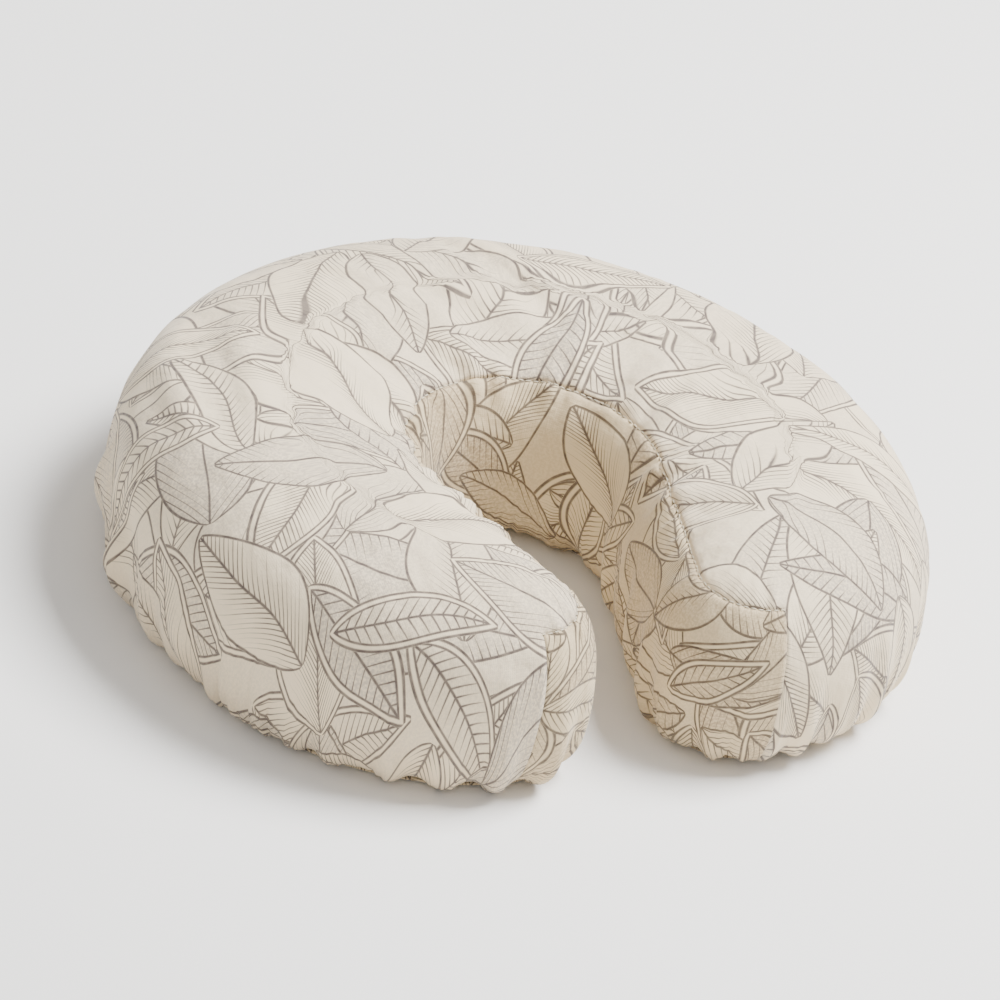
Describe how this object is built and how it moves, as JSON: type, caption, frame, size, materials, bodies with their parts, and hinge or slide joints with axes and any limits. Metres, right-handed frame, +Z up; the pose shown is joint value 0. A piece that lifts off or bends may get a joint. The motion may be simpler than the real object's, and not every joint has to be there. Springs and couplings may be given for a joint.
{
  "type": "face cradle cushion",
  "caption": "Crescent foam cushion for the face cradle of a massage table, in a vinyl skin under a fitted printed cotton cover with an elastic hem.",
  "frame": {"origin": "middle of the footprint, on the plane of the loop tape's underside", "axes": "+Z up through the pad's thickness, +Y towards the forehead end, +X to the right across the crescent, which opens towards -Y"},
  "size_m": [0.3076, 0.2776, 0.0765],
  "materials": {
    "comfort_foam": "open-cell foam",
    "support_foam": "open-cell foam",
    "vinyl": "soft matt vinyl",
    "polyester_thread": "twisted thread",
    "loop_tape": "woven tape with looped pile",
    "printed_cotton": "plain-woven cotton, line print",
    "printed_cotton_lining": "plain-woven cotton, line print",
    "printed_cotton_hem": "gathered cotton",
    "elastic": "woven elastic",
    "cotton_thread": "twisted thread"
  },
  "bodies": {
    "pad": {"comfort_foam": "comfort_foam", "support_foam": "support_foam", "pad_top_panel": "vinyl", "pad_outer_band": "vinyl", "pad_inner_band": "vinyl", "pad_bottom_panel": "vinyl", "pad_top_seam_thread": "polyester_thread", "pad_bottom_seam_thread": "polyester_thread", "loop_tape_forehead": "loop_tape", "loop_tape_right_temple": "loop_tape", "loop_tape_left_temple": "loop_tape", "loop_tape_right_cheek": "loop_tape", "loop_tape_left_cheek": "loop_tape", "loop_tape_thread_forehead": "polyester_thread", "loop_tape_thread_right_temple": "polyester_thread", "loop_tape_thread_left_temple": "polyester_thread", "loop_tape_thread_right_cheek": "polyester_thread", "loop_tape_thread_left_cheek": "polyester_thread"},
    "cover": {"cover_top_panel": "printed_cotton", "cover_inner_panel": "printed_cotton_lining", "cover_seam_thread": "cotton_thread", "cover_gathered_hem": "printed_cotton_hem", "cover_elastic": "elastic", "cover_hem_thread": "cotton_thread"}
  },
  "joints": [
    {"name": "cover_lift", "type": "slide", "parent": "pad", "child": "cover", "axis": [0, 0, 1], "range_m": [0, 0.12], "deforming": ["cover_gathered_hem", "cover_elastic", "cover_hem_thread"]}
  ]
}
